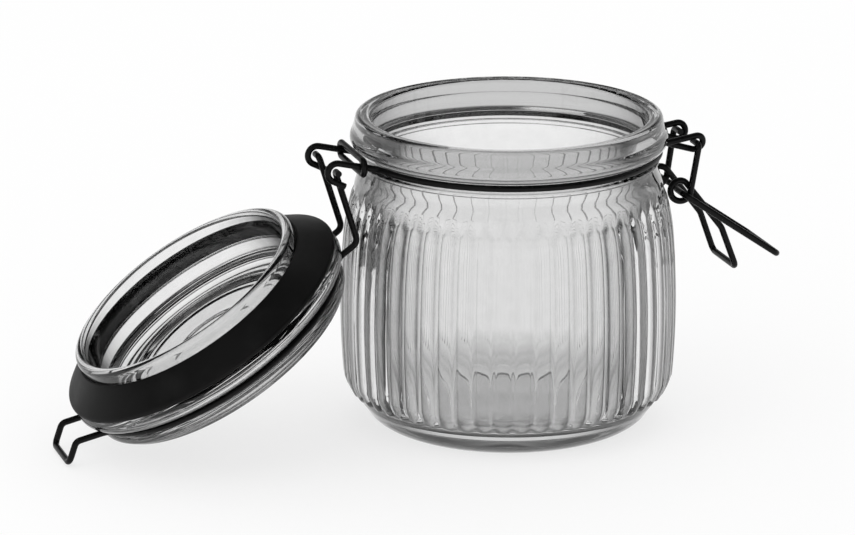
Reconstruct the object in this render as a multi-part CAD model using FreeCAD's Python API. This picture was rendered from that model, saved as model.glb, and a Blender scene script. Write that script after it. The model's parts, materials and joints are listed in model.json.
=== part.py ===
import FreeCAD, Part
import math
import os

os.makedirs("parts", exist_ok=True)

# Clip-top preserving jar, open, standing on its foot.
# Frame: origin at the centre of the foot, +X towards the clasp, +Z up, millimetres.
# The lid hangs open on the -X side and leans on its catch.

# --- Glass jar ---
BODY_R = 50.0             # widest radius of the ribbed body
JAR_H = 93.5              # height of the lip
FOOT_R = 36.0             # radius at which the heel leaves the table
NECK_R = 43.6             # radius of the neck under the bead
BEAD_R = 47.0             # radius of the bead under the lip
MOUTH_R = 41.0            # radius of the mouth
WALL = 4.0                # wall thickness of the body

# --- Steel wire ---
WIRE_R = 0.95             # radius of all the wires
NECK_WIRE_Z = 82.4        # height of the wire round the neck
RUN_Y = 10.4              # half the distance between the two hinge hooks
HOOK_R = 2.8              # bend radius of the hinge hooks
HOOK_TAIL = 4.1           # straight tail of each hook
TIE_X = -48.3             # place of the tie link behind the neck
TIE_RISE = 1.09           # height of the hinge runs above the neck wire there
TIE_PLAY = 0.20           # gap between the tie link and the runs
EYE_Y = (8.3, 6.35)       # outgoing and returning run of each front eye
EYE_R = 2.3               # bend radius of the front eyes
FRONT_BAR_X = 46.4        # cross bar between the front eyes

# --- Hinge, clasp and lid places ---
HINGE = (-56.0, 82.4)     # X and Z of the lid's hinge axis
EYE = (56.0, 82.0)        # X and Z of the lever's pivot
COIL = (50.7, 67.9)       # X and Z of the lever's coils
LID_Z = 100.8             # height of the lid's widest ridge when shut
LID_OPEN_DEG = 213.2      # how far the lid is turned from shut, as modelled

# --- Lever ---
LEVER_Y = (10.3, 8.25)    # half widths: arms at the pivot side and at the handle side
LEVER_TOP_Y = 10.6        # half width of the arms at the pivot
COIL_R = 3.0              # bend radius of the coils
COIL_STEPS = 6            # bends that make one coil
KNEE = (64.2, 55.4)       # X and Z of the handle's knee
HANDLE_TIP = (68.8, 42.9)  # X and Z of the handle's end bar
HANDLE_Y = (9.0, 9.5)     # half widths at the knee and at the end bar

# --- Bail ---
BAIL_Y = 12.85            # half width of the bail
BAIL_PIN = (50.9, 67.5)   # X and Z of the bail's pins, low in the coils
BAIL_TIP = (81.1, 46.6)   # X and Z of the bail's end bar

# --- Lid, as radius and height from the ridge, underside down ---
PLUG_R = 37.3             # outer radius of the plug that enters the mouth
LID_GROOVE_R = 41.4       # radius of the groove for the lid wire
LID_WIRE_H = 4.2          # height of the lid wire above the ridge
LID_LEG_Y = 8.15          # half width of the hinge legs
CATCH_Y = 9.0             # half width of the catch
LEG_KNEE = (49.6, 3.9)    # radius and height of the hinge legs' knee
CATCH_KNEE = (50.9, 0.9)  # radius and height of the catch's valley
CATCH_TIP = (56.2, 5.0)   # radius and height of the catch's end bar


def vec(x, y, z):
    return FreeCAD.Vector(x, y, z)


def line(a, b):
    return Part.LineSegment(a, b).toShape()


def arc(a, m, b):
    return Part.Arc(a, m, b).toShape()


def outline(steps):
    """Closed wire in the XZ plane: (r, z) is a straight run, (rm, zm, r, z) an arc through a middle point."""
    edges, here = [], vec(steps[0][0], 0, steps[0][1])
    for step in steps[1:] + steps[:1]:
        there = vec(step[-2], 0, step[-1])
        if len(step) == 4:
            edges.append(arc(here, vec(step[0], 0, step[1]), there))
        elif here.distanceToPoint(there) > 1e-6:
            edges.append(line(here, there))
        here = there
    return Part.Wire(edges)


def turned(steps):
    """Solid of revolution about the Z axis from an outline of radii and heights."""
    return Part.Face(outline(steps)).revolve(vec(0, 0, 0), vec(0, 0, 1), 360)


def bent_path(corners):
    """Runs and tangent arcs along corners, each (x, y, z, bend radius); end corners have radius 0."""
    pts = [vec(*c[:3]) for c in corners]
    edges, here = [], pts[0]
    for i in range(1, len(pts) - 1):
        back = (pts[i - 1] - pts[i]).normalize()
        ahead = (pts[i + 1] - pts[i]).normalize()
        half = 0.5 * back.getAngle(ahead)
        if math.pi / 2 - half < 1e-3:
            continue
        bend = corners[i][3]
        reach = bend / math.tan(half)
        start, end = pts[i] + back * reach, pts[i] + ahead * reach
        middle_way = (back + ahead).normalize()
        middle = pts[i] + middle_way * (bend / math.sin(half) - bend)
        if here.distanceToPoint(start) > 1e-3:
            edges.append(line(here, start))
            edges.append(arc(start, middle, end))
        else:
            edges.append(arc(here, middle, end))
        here = end
    edges.append(line(here, pts[-1]))
    return Part.Wire(edges)


def rod(corners, radius=WIRE_R):
    """Round wire along bent_path(corners)."""
    path = bent_path(corners)
    start = path.OrderedVertexes[0].Point
    way = (path.OrderedEdges[0].valueAt(path.OrderedEdges[0].FirstParameter + 1e-3) - start)
    section = Part.Wire(Part.makeCircle(radius, start, way))
    return path.makePipeShell([section], True, False)


def mirrored(corners):
    """The same corners on the other side of the XZ plane, in reverse order."""
    return [(x, -y, z, bend) for x, y, z, bend in reversed(corners)]


def ring_corners(radius, height, first_deg, last_deg, bends):
    """Corners whose bends lie on a circle, from first_deg to last_deg."""
    step = math.radians(last_deg - first_deg) / bends
    out = radius / math.cos(step / 2)
    angles = [math.radians(first_deg) + step * (i + 0.5) for i in range(bends)]
    return [(out * math.cos(a), out * math.sin(a), height, radius) for a in angles]


def run_corner(radius, deg, y, height, bend):
    """Corner where the ring's tangent at deg meets the line at y along X."""
    a = math.radians(deg)
    x = (radius - y * math.sin(a)) / math.cos(a)
    return (x, y, height, bend)


def swung(shape, deg):
    """Shape turned about the hinge axis, from +X towards +Z."""
    result = shape.copy()
    result.rotate(vec(HINGE[0], 0, HINGE[1]), vec(0, -1, 0), deg)
    return result


def jar_body():
    """Pressed glass: flat foot, full heel, bulging body, neck, bead and rounded lip."""
    steps = [
        (0.0, 0.0), (FOOT_R, 0.0),
        (44.4, 5.2, 49.2, 14.5),
        (BODY_R, 40.0, 49.0, 58.0),
        (47.3, 67.3, 44.9, 75.0),
        (44.1, 77.0, 43.9, 79.2),
        (44.5, 79.9, 43.9, 80.6), (NECK_R, 81.0), (NECK_R, 83.5),
        (44.9, 83.6), (BEAD_R, 86.2, 46.3, 89.0),
        (45.5, 92.2), (44.9, 93.3, 43.6, JAR_H),
        (42.6, 93.4), (41.3, 92.9, MOUTH_R, 91.8),
        (40.7, 82.0), (41.0, 76.0, 41.9, 72.0),
        (44.2, 64.5, 45.0, 57.0),
        (BODY_R - WALL, 40.0, 45.2, 15.5),
        (42.6, 9.0, 36.0, 6.0), (0.0, 7.0),
    ]
    return turned(steps)


def neck_wire():
    """One wire: hinge hook, half round the neck, front eye, front bar, and the same again."""
    ring_r = NECK_R + WIRE_R
    z = NECK_WIRE_Z
    root_x = run_corner(ring_r, -160, -RUN_Y, z, 3.0)[0]
    slope = math.asin(HOOK_R / math.hypot(root_x - HINGE[0], z - HINGE[1]))
    near = []
    tail_deg = -117.0
    tail = math.radians(tail_deg)
    tail_x = HINGE[0] + HOOK_R * math.cos(tail) + HOOK_TAIL * math.cos(tail + math.pi / 2)
    tail_z = HINGE[1] + HOOK_R * math.sin(tail) + HOOK_TAIL * math.sin(tail + math.pi / 2)
    near.append((tail_x, -RUN_Y, tail_z, 0))
    first = math.pi / 2 - slope
    steps = 4
    step = (2 * math.pi + tail - first) / steps
    out = HOOK_R / math.cos(step / 2)
    for i in range(steps):
        a = tail - step * (i + 0.5)
        near.append((HINGE[0] + out * math.cos(a), -RUN_Y, HINGE[1] + out * math.sin(a), HOOK_R))
    near.append(run_corner(ring_r, -160, -RUN_Y, z, 3.0))
    near += ring_corners(ring_r, z, -160, -20, 7)
    near.append(run_corner(ring_r, -20, -EYE_Y[0], z, 2.4))
    steps = 5
    entry, leave = math.radians(90.0), math.radians(-113.0)
    step = (leave - entry) / steps
    out = EYE_R / math.cos(step / 2)
    for i in range(steps):
        a = entry + step * (i + 0.5)
        y = EYE_Y[0] + (EYE_Y[1] - EYE_Y[0]) * (i + 0.5) / steps
        near.append((EYE[0] + out * math.cos(a), -y, EYE[1] + out * math.sin(a), EYE_R))
    near.append((FRONT_BAR_X, -EYE_Y[1], NECK_WIRE_Z, 1.6))
    return rod(near + mirrored(near))


def hinge_tie():
    """Closed link round both hinge runs, close behind the neck."""
    z, half_h = NECK_WIRE_Z + TIE_RISE, 2 * WIRE_R + TIE_PLAY
    half_y, bend = RUN_Y + half_h, 2 * WIRE_R
    top = [(TIE_X, 0, z + half_h, 0), (TIE_X, -half_y, z + half_h, bend),
           (TIE_X, -half_y, z - half_h, bend), (TIE_X, 0, z - half_h, 0)]
    return rod(top).fuse(rod(mirrored(top))).removeSplitter()


def lid_glass():
    """Pressed glass lid: plug, gasket seat, ridge, wire groove, top bead and recessed top."""
    steps = [
        (0.0, 4.2), (26.0, 4.2), (27.2, 3.2), (30.5, 3.2),
        (32.6, 2.6, 33.2, 0.4), (34.1, -12.4),
        (35.7, -14.4, PLUG_R, -12.6), (PLUG_R, -8.2), (44.9, -2.3),
        (45.9, -0.2, 44.9, 2.0), (LID_GROOVE_R, 3.0), (LID_GROOVE_R, 5.4),
        (42.6, 7.4, 41.2, 9.2), (40.4, 10.2, 38.8, 10.4), (33.0, 10.4), (31.4, 8.8), (0.0, 8.8),
    ]
    return turned(steps)


def lid_gasket():
    """Rubber ring, a shallow cone between the plug and the ridge."""
    steps = [
        (PLUG_R + 0.05, -8.16), (PLUG_R + 0.05, -9.6), (37.5, -10.15, 38.0, -10.1),
        (45.4, -4.25), (45.9, -3.4, 45.6, -2.7), (44.9, -2.3),
    ]
    return turned(steps)


def lid_wire():
    """One wire: hinge pin, leg, half round the lid, catch, and the same again."""
    ring_r = LID_GROOVE_R + WIRE_R
    h = LID_WIRE_H
    pin_h = HINGE[1] - LID_Z
    near = [
        (HINGE[0], -LID_LEG_Y - 4.0, pin_h, 0),
        (HINGE[0], -LID_LEG_Y, pin_h, 1.4),
        (-LEG_KNEE[0], -LID_LEG_Y, LEG_KNEE[1], 2.6),
        run_corner(ring_r, -160, -LID_LEG_Y, h, 3.0),
    ]
    near += ring_corners(ring_r, h, -160, -20, 7)
    near.append(run_corner(ring_r, -20, -CATCH_Y, h, 3.0))
    near.append((CATCH_KNEE[0], -CATCH_Y, CATCH_KNEE[1], 2.2))
    near.append((CATCH_TIP[0], -CATCH_Y, CATCH_TIP[1], 2.0))
    return rod(near + mirrored(near))


def lever():
    """Wire lever: two pins, arms, a coil on each side, and a handle with a knee."""
    near = [(EYE[0], -EYE_Y[1] + 1.2, EYE[1], 0), (EYE[0], -LEVER_TOP_Y, EYE[1], 1.4)]
    to_eye = math.atan2(EYE[1] - COIL[1], EYE[0] - COIL[0])
    entry = to_eye - math.acos(COIL_R / math.hypot(EYE[1] - COIL[1], EYE[0] - COIL[0]))
    to_knee = math.atan2(KNEE[1] - COIL[1], KNEE[0] - COIL[0])
    leave = to_knee + math.acos(COIL_R / math.hypot(KNEE[1] - COIL[1], KNEE[0] - COIL[0])) - 2 * math.pi
    step = (leave - entry) / COIL_STEPS
    out = COIL_R / math.cos(step / 2)
    for i in range(COIL_STEPS):
        a = entry + step * (i + 0.5)
        y = LEVER_Y[0] + (LEVER_Y[1] - LEVER_Y[0]) * (i + 0.5) / COIL_STEPS
        near.append((COIL[0] + out * math.cos(a), -y, COIL[1] + out * math.sin(a), COIL_R * 0.99))
    near.append((KNEE[0], -HANDLE_Y[0], KNEE[1], 5.0))
    near.append((HANDLE_TIP[0], -HANDLE_Y[1], HANDLE_TIP[1], 1.8))
    return rod(near + mirrored(near))


def bail():
    """Straight wire loop that the lever pulls down over the catch."""
    near = [(BAIL_PIN[0], -LEVER_Y[1] + 2.2, BAIL_PIN[1], 0), (BAIL_PIN[0], -BAIL_Y, BAIL_PIN[1], 1.4),
            (BAIL_TIP[0], -BAIL_Y, BAIL_TIP[1], 2.0)]
    return rod(near + mirrored(near))


def hung(shape):
    """A lid piece moved from its own frame to the shut place, then swung open."""
    shut = shape.copy()
    shut.translate(vec(0, 0, LID_Z))
    return swung(shut, LID_OPEN_DEG)


PIECES = {
    "jar_body": jar_body(),
    "neck_wire": neck_wire(),
    "hinge_tie": hinge_tie(),
    "lid_glass": hung(lid_glass()),
    "lid_gasket": hung(lid_gasket()),
    "lid_wire": hung(lid_wire()),
    "lever": lever(),
    "bail": bail(),
}

for name, shape in PIECES.items():
    solid = shape.Solids[0]
    solid.exportStep("parts/" + name + ".step")
    box = solid.BoundBox
    print(name, "valid", solid.isValid(), "solids", len(shape.Solids), "volume", round(solid.Volume, 1),
          "z", round(box.ZMin, 2), round(box.ZMax, 2), "x", round(box.XMin, 2), round(box.XMax, 2))
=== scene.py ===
import json
import math

import bmesh
import bpy
from mathutils import Matrix, Vector


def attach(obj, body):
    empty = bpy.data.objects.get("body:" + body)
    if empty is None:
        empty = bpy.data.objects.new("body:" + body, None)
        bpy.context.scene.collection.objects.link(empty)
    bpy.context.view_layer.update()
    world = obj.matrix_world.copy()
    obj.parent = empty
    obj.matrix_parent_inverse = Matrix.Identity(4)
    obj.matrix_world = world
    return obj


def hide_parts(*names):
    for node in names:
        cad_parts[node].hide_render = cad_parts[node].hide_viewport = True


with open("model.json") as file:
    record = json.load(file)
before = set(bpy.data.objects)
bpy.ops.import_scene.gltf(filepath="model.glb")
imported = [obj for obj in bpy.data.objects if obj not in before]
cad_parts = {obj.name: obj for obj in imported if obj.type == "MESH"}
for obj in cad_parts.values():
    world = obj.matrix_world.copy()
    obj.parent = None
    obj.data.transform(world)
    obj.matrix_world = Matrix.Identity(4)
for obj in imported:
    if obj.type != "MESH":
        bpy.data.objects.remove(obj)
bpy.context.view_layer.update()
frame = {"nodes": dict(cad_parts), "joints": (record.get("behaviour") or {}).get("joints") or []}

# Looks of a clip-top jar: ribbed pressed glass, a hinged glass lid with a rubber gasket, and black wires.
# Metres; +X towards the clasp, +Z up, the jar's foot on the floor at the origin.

MM = 0.001

# --- Shapes, in millimetres ---
RIBS = 54                      # reeds round the body
RIB_DEPTH = 1.2                # how far the reeds stand out of the glass
RIB_FULLNESS = 2.2             # how flat a reed's crown is: 2 is an ellipse
RIB_FOOT_Z = 9.0               # height of the reeds' rounded lower ends
RIB_TOP_Z = 69.0               # height of the reeds' rounded upper ends
RIB_END = 3.2                  # length of the rounding at each end
RIB_END_FULLNESS = 0.6         # how full that rounding is
VALLEY_FOOT_Z = 5.0            # height where the valleys between reeds start to sink in
VALLEY_RUN = 4.0               # height over which they reach their depth, and leave it again
VALLEY_OVER = 3.0              # how far they run on above the reeds' upper ends
WALL_INSIDE_R = 40.0           # the outside is shaped only beyond this radius
RIB_COLUMNS = 8                # mesh columns for one reed
TURN_COLUMNS = 192             # mesh columns of the plain turned pieces
ROW_LONGEST = 3.0              # longest mesh row
ROW_FINE = 0.6                 # mesh row at the reeds' ends
ARC_STEP = 2.4                 # longest step along an arc
ARC_STEP_DEG = 12.0            # largest turn in a step along an arc
CORNER_SOFT = 0.5              # how far back a corner's softening reaches
CORNER_LEAST_DEG = 16.0        # smallest turn that counts as a corner
LID_SHUT_Z = 100.8             # height of the lid's widest ridge when shut

# --- Glass ---
CLEAR = (0.83, 0.87)           # range of its clearness
GLASS_ROUGHNESS = (0.012, 0.03)
WAVES = 55.0                   # noise scale of the mould's waves
CORDS = 260.0                  # noise scale of the fine cords in the glass
WAVE_SHARE = 0.9
CORD_SHARE = 0.02
WAVE_HEIGHT = 0.0006
JAR_WAVES = 0.35               # strength of the waves in the jar
LID_WAVES = 0.3                # and in the lid
LYING = (0.72, 0.95)           # squares of the normal's share along the axis over which the painted edge shade fades out: upright wall to lying face
EDGE_SHADE_FROM = 0.15               # how far from facing the painted edge shade starts darkening the wall
EDGE_SHADE_TO = 0.66                 # and where the painted edge shade is darkest
EDGE_SHADE_LEVEL = 0.03              # grey of the wall under the painted edge shade at its darkest
THICK_RIM_SHADE = (0.079, 0.085)     # heights between which the wall passes into the thick rim with its painted shade
THICK_HEEL_SHADE = (0.005, 0.015)    # heights between which the thick heel with its painted shade passes into the wall
THICK_SHADE_LEVEL = 0.58             # grey of the thick rim and heel: painted shade, partly the tint of thicker glass
RIM_EDGE_SHADE_LOSS = 0.5            # how much weaker the painted edge shade is at the rim

# --- Rubber ---
RUBBER = (0.004, 0.009)        # range of its grey
RUBBER_ROUGHNESS = (0.42, 0.56)
RUBBER_GLOSS = 0.1
RUBBER_GRAIN = 2600.0
RUBBER_DUST = 70.0

# --- Wire ---
WIRE = (0.003, 0.008)          # range of its grey
WIRE_ROUGHNESS = (0.26, 0.4)
WIRE_BARE = 0.2                # how metallic the most worn places are
WIRE_GLOSS = 0.14
WIRE_COAT = 900.0
WIRE_WEAR = 120.0

# --- Studio, in metres ---
CAMERA_PLACE = (-0.4271, -1.2746, 0.4390)
CAMERA_TILT_DEG = 73.7
CAMERA_TURN_DEG = -17.5
LENS_MM = 198.07
SENSOR_MM = 36.0
CLIP = (0.01, 50.0)
FLOOR_SIZE = 12.0
FLOOR_WHITE = (0.93, 0.95)     # range of the floor's colour
FLOOR_CLOUDS = 4.0             # noise scale of that range
FLOOR_GLOW_SEEN = 0.74         # share of the floor's glow that the eye sees; the rest takes the shadow
FLOOR_GLOW_OPTIC = 0.88        # the same for reflections and through glass
WALL_TOP = (0.1, 0.4)          # sines of the heights between which the walls pass into the ceiling
CEILING_LEVEL = 0.05           # how bright the ceiling is; the walls are 1
ROOM_LEVEL = 0.88              # plain light that matt surfaces get from all round
LAMP_AIM = (0.0, 0.0, 0.05)
LAMP_SIZE = 1.2
LAMPS = {                      # place and watts
    "lamp_left": ((-1.0, -0.6, 1.3), 4.5),
    "lamp_back": ((0.6, 1.1, 1.4), 3.5),
}

# --- Sockets that have to be named by number ---
FROM_GENERATED, FROM_NORMAL, FROM_OBJECT = 0, 1, 3  # Texture Coordinate
IS_CAMERA, IS_GLOSSY, IS_TRANSMISSION = 0, 3, 6     # Light Path
FACING = 1                                          # Layer Weight
DOT_VALUE = 1                                       # Vector Math
MIX_FACTOR, MIX_FIRST, MIX_SECOND, MIXED = 0, 6, 7, 2  # Mix, for colours


# ---------------------------------------------------------------- shader maths

class Value:
    """A number socket with Python's arithmetic: each operator adds a Math node."""

    def __init__(self, sheet, socket):
        self.sheet, self.socket = sheet, socket

    def math(self, operation, *others):
        return self.sheet.node("ShaderNodeMath", {"operation": operation}, [self, *others])[0]

    def __add__(self, other):
        return self.math("ADD", other)

    def __sub__(self, other):
        return self.math("SUBTRACT", other)

    def __rsub__(self, other):
        return self.sheet.node("ShaderNodeMath", {"operation": "SUBTRACT"}, [other, self])[0]

    def __mul__(self, other):
        return self.math("MULTIPLY", other)

    __radd__ = __add__
    __rmul__ = __mul__

    def most(self, other):
        return self.math("MAXIMUM", other)

    def least(self, other):
        return self.math("MINIMUM", other)

    def between(self, low, high, out_low=0.0, out_high=1.0):
        """Smooth step from out_low to out_high as the value goes from low to high."""
        settings = {"interpolation_type": "SMOOTHSTEP"}
        return self.sheet.node("ShaderNodeMapRange", settings, [self, low, high, out_low, out_high])[0]


class Sheet:
    """The node tree of one material or world."""

    def __init__(self, tree):
        self.tree = tree
        tree.nodes.clear()

    def node(self, kind, settings=None, sockets=None):
        """Adds a node, its settings first, then its sockets by number or name. Returns its outputs."""
        made = self.tree.nodes.new(kind)
        for name, value in (settings or {}).items():
            setattr(made, name, value)
        pairs = sockets.items() if isinstance(sockets, dict) else enumerate(sockets or [])
        for key, value in pairs:
            if isinstance(value, Value):
                self.tree.links.new(value.socket, made.inputs[key])
            elif value is not None:
                made.inputs[key].default_value = value
        return [Value(self, output) for output in made.outputs]

    def place(self):
        """The point on the piece, in metres, in the piece's own frame."""
        return self.node("ShaderNodeTexCoord")[FROM_OBJECT]

    def along(self, axis):
        """How far the face's normal, in the piece's own frame, lies along the axis: -1 to 1."""
        normal = self.node("ShaderNodeTexCoord")[FROM_NORMAL]
        dot = self.node("ShaderNodeVectorMath", {"operation": "DOT_PRODUCT"}, [normal, tuple(axis)])
        return dot[DOT_VALUE]

    def rays(self):
        """Two values: 1 for a ray from the eye, and 1 for a ray that gloss or glass sends on."""
        path = self.node("ShaderNodeLightPath")
        return path[IS_CAMERA], (path[IS_GLOSSY] + path[IS_TRANSMISSION]).least(1.0)

    def parts(self, vector):
        return self.node("ShaderNodeSeparateXYZ", None, [vector])

    def noise(self, vector, scale, detail):
        sockets = {"Vector": vector, "Scale": scale, "Detail": detail}
        return self.node("ShaderNodeTexNoise", None, sockets)[0]

    def mix_colour(self, factor, first, second):
        sockets = {MIX_FACTOR: factor, MIX_FIRST: first, MIX_SECOND: second}
        return self.node("ShaderNodeMix", {"data_type": "RGBA"}, sockets)[MIXED]

    def mix_grey(self, factor, levels):
        """A grey between the two levels."""
        return self.mix_colour(factor, grey(levels[0]), grey(levels[1]))

    def bump(self, height, strength, distance):
        sockets = {"Strength": strength, "Distance": distance, "Height": height}
        return self.node("ShaderNodeBump", None, sockets)[0]

    def surface(self, shader):
        self.node("ShaderNodeOutputMaterial", None, {"Surface": shader})

    def principled(self, sockets):
        self.surface(self.node("ShaderNodeBsdfPrincipled", None, sockets)[0])


def new_material(name):
    made = bpy.data.materials.new(name)
    made.use_nodes = True
    return made, Sheet(made.node_tree)


def grey(level):
    return (level, level, level, 1.0)


# ---------------------------------------------------------------- finishes

def pressed_glass(name, wave_strength, axis, thick_shaded_ends=False):
    """Clear neutral glass with the mould's faint waves, and a painted shade darkening its upright walls
    where they turn away from the view.
    """
    made, sheet = new_material(name)
    place = sheet.place()
    waves = sheet.noise(place, WAVES, 1.0)
    cords = sheet.noise(place, CORDS, 3.0)
    clear = sheet.mix_grey(cords.between(0.3, 0.7), CLEAR)
    # Painted shade: the upright walls darken in Base Color as they turn away from the view (Layer Weight
    # facing).
    edge = sheet.node("ShaderNodeLayerWeight", None, {"Blend": 0.5})[FACING]
    lie = sheet.along(axis)
    edge_shade = (lie * lie).between(*LYING, 1.0, 0.0) * edge.between(EDGE_SHADE_FROM, EDGE_SHADE_TO)
    if thick_shaded_ends:
        # Painted shade in the rim and heel, partly the tint of the thicker glass there; the painted edge
        # shade is weaker in the rim.
        height = sheet.parts(place)[2]
        rim = height.between(*THICK_RIM_SHADE)
        heel = height.between(*THICK_HEEL_SHADE, 1.0, 0.0)
        clear = sheet.mix_colour(rim.most(heel), clear, grey(THICK_SHADE_LEVEL))
        edge_shade = edge_shade * (1.0 - rim * RIM_EDGE_SHADE_LOSS)
    sheet.principled({
        "Base Color": sheet.mix_colour(edge_shade, clear, grey(EDGE_SHADE_LEVEL)),
        "Roughness": waves.between(0.3, 0.8, *GLASS_ROUGHNESS),
        "IOR": 1.5,
        "Transmission Weight": 1.0,
        "Normal": sheet.bump(waves * WAVE_SHARE + cords * CORD_SHARE, wave_strength, WAVE_HEIGHT)})
    return made


def black_rubber(name):
    """Matt moulded rubber with a fine grain and a little dust."""
    made, sheet = new_material(name)
    place = sheet.place()
    grain = sheet.noise(place, RUBBER_GRAIN, 2.0)
    dust = sheet.noise(place, RUBBER_DUST, 4.0)
    sheet.principled({
        "Base Color": sheet.mix_grey(dust.between(0.45, 0.8), RUBBER),
        "Roughness": dust.between(0.2, 0.8, *RUBBER_ROUGHNESS),
        "IOR": 1.5,
        "Specular IOR Level": RUBBER_GLOSS,
        "Normal": sheet.bump(grain, 0.25, 0.0001)})
    return made


def black_wire(name):
    """Steel wire under a satin black coat, a little worn in places."""
    made, sheet = new_material(name)
    place = sheet.place()
    coat = sheet.noise(place, WIRE_COAT, 3.0)
    wear = sheet.noise(place, WIRE_WEAR, 5.0)
    sheet.principled({
        "Base Color": sheet.mix_grey(wear.between(0.55, 0.85), WIRE),
        "Roughness": coat.between(0.25, 0.75, *WIRE_ROUGHNESS),
        "Metallic": wear.between(0.6, 0.9, 0.0, WIRE_BARE),
        "Specular IOR Level": WIRE_GLOSS,
        "Normal": sheet.bump(coat, 0.2, 0.00008)})
    return made


def floor_white(name):
    """White table: bright to the eye, in reflections and through glass, and still darkened by a shadow."""
    made, sheet = new_material(name)
    eye, optic = sheet.rays()
    shade = sheet.mix_grey(sheet.noise(sheet.place(), FLOOR_CLOUDS, 2.0), FLOOR_WHITE)
    matt = sheet.node("ShaderNodeBsdfDiffuse", None, {"Color": shade})[0]
    glow = sheet.node("ShaderNodeEmission", None, {"Color": grey(1.0), "Strength": 1.0})[0]
    share = eye * FLOOR_GLOW_SEEN + optic * FLOOR_GLOW_OPTIC
    sheet.surface(sheet.node("ShaderNodeMixShader", None, [share, matt, glow])[0])
    return made


# ---------------------------------------------------------------- turned pieces

def arc_points(start, middle, end):
    """Points after start on the arc from start through middle to end."""
    (ax, ay), (bx, by), (cx, cy) = start, middle, end
    d = 2 * (ax * (by - cy) + bx * (cy - ay) + cx * (ay - by))
    a, b, c = ax * ax + ay * ay, bx * bx + by * by, cx * cx + cy * cy
    ux = (a * (by - cy) + b * (cy - ay) + c * (ay - by)) / d
    uy = (a * (cx - bx) + b * (ax - cx) + c * (bx - ax)) / d
    radius = math.hypot(ax - ux, ay - uy)
    first = math.atan2(ay - uy, ax - ux)
    turn_middle = (math.atan2(by - uy, bx - ux) - first) % math.tau
    turn = (math.atan2(cy - uy, cx - ux) - first) % math.tau
    if turn_middle > turn:
        turn -= math.tau
    by_length = math.ceil(abs(turn) * radius / ARC_STEP)
    by_turn = math.ceil(abs(math.degrees(turn)) / ARC_STEP_DEG)
    count = max(2, by_length, by_turn)
    angles = [first + turn * i / count for i in range(1, count + 1)]
    return [(ux + radius * math.cos(angle), uy + radius * math.sin(angle)) for angle in angles]


def profile(steps, softness=CORNER_SOFT):
    """Outline points from (r, z) runs and (r, z, r, z) arcs by their middle and end, corners softened."""
    raw = [steps[0]]
    for step in steps[1:]:
        if len(step) == 4:
            raw += arc_points(raw[-1], step[:2], step[2:])
        else:
            raw.append(step)
    out = [raw[0]]
    for before, corner, after in zip(raw, raw[1:], raw[2:]):
        b, c, a = Vector(before), Vector(corner), Vector(after)
        back, ahead = b - c, a - c
        if (-back).angle(ahead) < math.radians(CORNER_LEAST_DEG):
            out.append(corner)
            continue
        reach_back = min(softness, 0.45 * back.length)
        reach_ahead = min(softness, 0.45 * ahead.length)
        start = c + back.normalized() * reach_back
        end = c + ahead.normalized() * reach_ahead
        for t in (0.0, 0.25, 0.5, 0.75, 1.0):
            point = start * (1 - t) ** 2 + c * 2 * t * (1 - t) + end * t ** 2
            out.append((point.x, point.y))
    out.append(raw[-1])
    return spaced(out)


def spaced(points, longest=ROW_LONGEST):
    """The same outline with its long runs divided."""
    out = [points[0]]
    for start, end in zip(points, points[1:]):
        count = max(1, math.ceil(math.dist(start, end) / longest))
        out += [(start[0] + (end[0] - start[0]) * i / count,
                 start[1] + (end[1] - start[1]) * i / count) for i in range(1, count + 1)]
    return out


def turned(name, rows, columns, radius_at=None, closed=False):
    """Smooth turned mesh in metres; radius_at(row, angle, r, z) may shape the rows."""
    bm = bmesh.new()
    rings = []
    for i, (r, z) in enumerate(rows):
        if r < 1e-6:
            rings.append([bm.verts.new((0, 0, z * MM))])
            continue
        ring = []
        for k in range(columns):
            angle = math.tau * k / columns
            here = radius_at(i, angle, r, z) if radius_at else r
            x, y = here * MM * math.cos(angle), here * MM * math.sin(angle)
            ring.append(bm.verts.new((x, y, z * MM)))
        rings.append(ring)
    pairs = list(zip(rings, rings[1:]))
    if closed:
        pairs.append((rings[-1], rings[0]))
    for low, high in pairs:
        for k in range(columns):
            j = (k + 1) % columns
            if len(low) == 1:
                bm.faces.new((low[0], high[j], high[k]))
            elif len(high) == 1:
                bm.faces.new((low[k], low[j], high[0]))
            else:
                bm.faces.new((low[k], low[j], high[j], high[k]))
    bmesh.ops.recalc_face_normals(bm, faces=bm.faces)
    for face in bm.faces:
        face.smooth = True
    mesh = bpy.data.meshes.new(name)
    bm.to_mesh(mesh)
    bm.free()
    made = bpy.data.objects.new(name, mesh)
    bpy.context.scene.collection.objects.link(made)
    return made


def finish_piece(piece, material, body, node):
    """Gives the piece its material, and puts it on its body in the place of a CAD node."""
    piece.data.materials.clear()
    piece.data.materials.append(material)
    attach(piece, body)
    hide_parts(node)


# ---------------------------------------------------------------- jar

JAR_OUTSIDE = [
    (0.0, 0.9), (24.0, 0.9), (27.0, 0.0), (36.0, 0.0),
    (40.4, 1.9, 43.2, 5.2), (46.6, 9.0, 49.2, 14.5),
    (50.0, 40.0, 49.0, 58.0),
    (47.3, 67.3, 44.9, 75.0), (44.1, 77.0, 43.9, 79.2),
    (44.5, 79.9, 43.9, 80.6), (43.5, 81.0), (43.5, 83.5),
    (44.9, 83.6), (47.0, 86.2, 46.3, 89.0),
    (45.5, 92.2), (44.9, 93.3, 43.6, 93.5),
]
JAR_INSIDE = [
    (43.6, 93.5), (42.6, 93.4), (41.3, 92.9, 41.0, 91.8),
    (40.7, 82.0), (41.0, 76.0, 41.9, 72.0),
    (44.2, 64.5, 45.0, 57.0),
    (46.0, 40.0, 45.2, 15.5),
    (42.6, 9.0, 36.0, 6.0), (0.0, 7.0),
]


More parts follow.
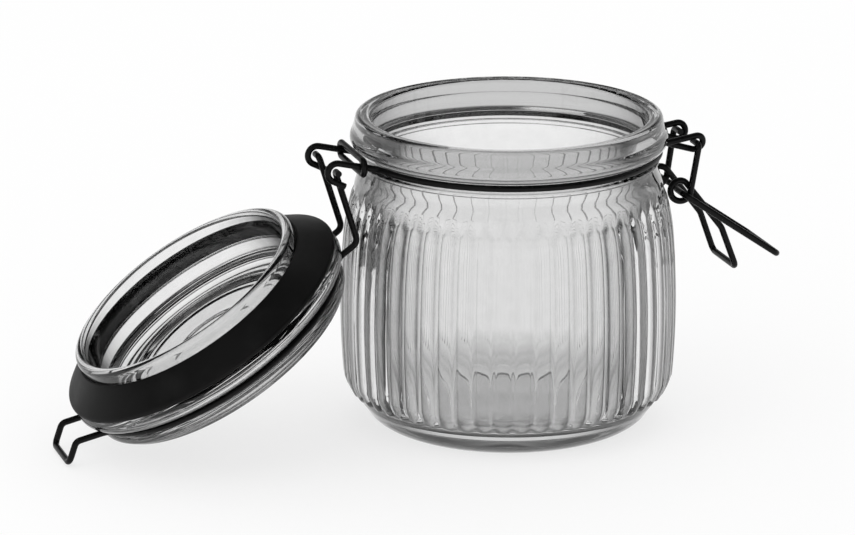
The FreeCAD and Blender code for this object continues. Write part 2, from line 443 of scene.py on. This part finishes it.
def reed_height(angle, z):
    """How far the reed stands out, 0 to 1: rounded across, with rounded ends."""
    across = abs((angle * RIBS / math.tau) % 1.0 - 0.5) * 2
    bulge = math.sqrt(max(0.0, 1 - across ** RIB_FULLNESS))
    end = min(z - RIB_FOOT_Z, RIB_TOP_Z - z) / RIB_END
    if end <= 0:
        return 0.0
    if end >= 1:
        return bulge
    open_width = math.sqrt(1 - (1 - end) ** 2)
    if across >= open_width:
        return 0.0
    return bulge * math.sqrt(1 - (across / open_width) ** 2) ** RIB_END_FULLNESS


def at_rib_end(z):
    return RIB_FOOT_Z - 1 < z < RIB_FOOT_Z + 6 or RIB_TOP_Z - 5 < z < RIB_TOP_Z + 1


def jar_glass():
    """The jar, its outline turned, and its reeds raised by sinking the valleys between them."""
    outside = []
    for point in profile(JAR_OUTSIDE):
        if outside and at_rib_end(point[1]):
            outside += spaced([outside[-1], point], ROW_FINE)[1:]
        else:
            outside.append(point)
    valley_top = RIB_TOP_Z + VALLEY_OVER

    def radius_at(row, angle, r, z):
        if row >= len(outside) or r < WALL_INSIDE_R or z > valley_top:
            return r
        sunk = min(1.0, max(0.0, (z - VALLEY_FOOT_Z) / VALLEY_RUN), max(0.0, (valley_top - z) / VALLEY_RUN))
        return r - RIB_DEPTH * sunk * (1 - reed_height(angle, z))

    rows = outside + profile(JAR_INSIDE)[1:]
    return turned("ribbed_jar", rows, RIBS * RIB_COLUMNS, radius_at)


# ---------------------------------------------------------------- lid

LID_GLASS = [
    (0.0, 4.6), (13.0, 4.6), (14.2, 4.2), (23.0, 4.2), (24.0, 3.8), (25.0, 4.2), (25.8, 4.2),
    (27.2, 3.2), (28.4, 3.2), (29.0, 3.7), (29.6, 3.2), (30.5, 3.2),
    (32.6, 2.6, 33.2, 0.4), (34.1, -12.4),
    (35.7, -14.4, 37.3, -12.6), (37.3, -8.2), (44.9, -2.3),
    (45.9, -0.2, 44.9, 2.0), (41.3, 3.0), (41.3, 5.4),
    (42.6, 7.4, 41.2, 9.2), (40.4, 10.2, 38.8, 10.4), (33.0, 10.4), (31.4, 8.8), (0.0, 8.8),
]
GASKET = [
    (37.22, -8.1), (37.22, -9.6), (37.5, -10.15, 38.0, -10.1),
    (45.4, -4.25), (45.9, -3.4, 45.6, -2.7), (44.85, -2.2), (37.22, -8.1),
]


def open_turn(hinge):
    """The turn that takes the lid from shut to open."""
    return Matrix.Rotation(math.radians(-hinge["range_deg"][0]), 4, Vector(hinge["axis"]))


def hang_open(piece, hinge):
    """Moves a lid piece's mesh from the lid's own frame to its open place."""
    pivot = Vector(hinge["pos_m"])
    turn = open_turn(hinge)
    lift = Matrix.Translation((0, 0, LID_SHUT_Z * MM))
    piece.data.transform(Matrix.Translation(pivot) @ turn @ Matrix.Translation(-pivot) @ lift)


# ---------------------------------------------------------------- studio

def studio_world():
    """White walls under a dark ceiling, the same to the eye, in reflections and through glass."""
    world = bpy.data.worlds.new("studio")
    bpy.context.scene.world = world
    world.use_nodes = True
    sheet = Sheet(world.node_tree)
    upward = sheet.parts(sheet.node("ShaderNodeTexCoord")[FROM_GENERATED])[2]
    eye, optic = sheet.rays()
    seen = eye + optic
    level = seen * upward.between(*WALL_TOP, 1.0, CEILING_LEVEL) + (1.0 - seen) * ROOM_LEVEL
    sockets = {"Color": sheet.mix_grey(level, (0.0, 1.0)), "Strength": 1.0}
    background = sheet.node("ShaderNodeBackground", None, sockets)[0]
    sheet.node("ShaderNodeOutputWorld", None, {"Surface": background})


def soft_lamp(name, place, watts):
    lamp = bpy.data.lights.new(name, "AREA")
    lamp.size, lamp.energy = LAMP_SIZE, watts
    made = bpy.data.objects.new(name, lamp)
    bpy.context.scene.collection.objects.link(made)
    made.location = place
    aim = Vector(LAMP_AIM) - Vector(place)
    made.rotation_euler = aim.to_track_quat("-Z", "Y").to_euler()


def studio():
    """World, floor, lamps and camera."""
    bpy.context.scene.view_settings.view_transform = "Standard"
    studio_world()
    bpy.ops.mesh.primitive_plane_add(size=FLOOR_SIZE)
    floor = bpy.context.object
    floor.name = "floor"
    floor.data.materials.append(floor_white("white_table"))
    for name, (place, watts) in LAMPS.items():
        soft_lamp(name, place, watts)
    camera = bpy.data.cameras.new("camera")
    camera.lens, camera.sensor_width = LENS_MM, SENSOR_MM
    camera.clip_start, camera.clip_end = CLIP
    made = bpy.data.objects.new("camera", camera)
    bpy.context.scene.collection.objects.link(made)
    made.location = CAMERA_PLACE
    made.rotation_euler = math.radians(CAMERA_TILT_DEG), 0.0, math.radians(CAMERA_TURN_DEG)
    bpy.context.scene.camera = made


# ---------------------------------------------------------------- the object

lid_hinge = next(joint for joint in frame["joints"] if joint["name"] == "lid_hinge")

# The jar's glass also gets a painted shade in its rim and heel, partly the tint of the thicker glass there.
jar_clear = pressed_glass("jar_glass_clear", JAR_WAVES, (0, 0, 1), thick_shaded_ends=True)
finish_piece(jar_glass(), jar_clear, "jar", "jar_body")

lid = turned("lid_glass_turned", profile(LID_GLASS), TURN_COLUMNS)
hang_open(lid, lid_hinge)
lid_axis = open_turn(lid_hinge) @ Vector((0, 0, 1))
# The lid's glass also gets the painted edge shade on its upright walls.
lid_clear = pressed_glass("lid_glass_clear", LID_WAVES, lid_axis)
finish_piece(lid, lid_clear, "lid", "lid_glass")

gasket = turned("gasket_ring", profile(GASKET, 0.3)[:-1], TURN_COLUMNS, closed=True)
hang_open(gasket, lid_hinge)
finish_piece(gasket, black_rubber("gasket_black"), "lid", "lid_gasket")

wire_black = black_wire("wire_black")
for node_name in ("neck_wire", "hinge_tie", "lid_wire", "lever", "bail"):
    wire = frame["nodes"][node_name]
    for slot in wire.material_slots:
        slot.material = wire_black

studio()
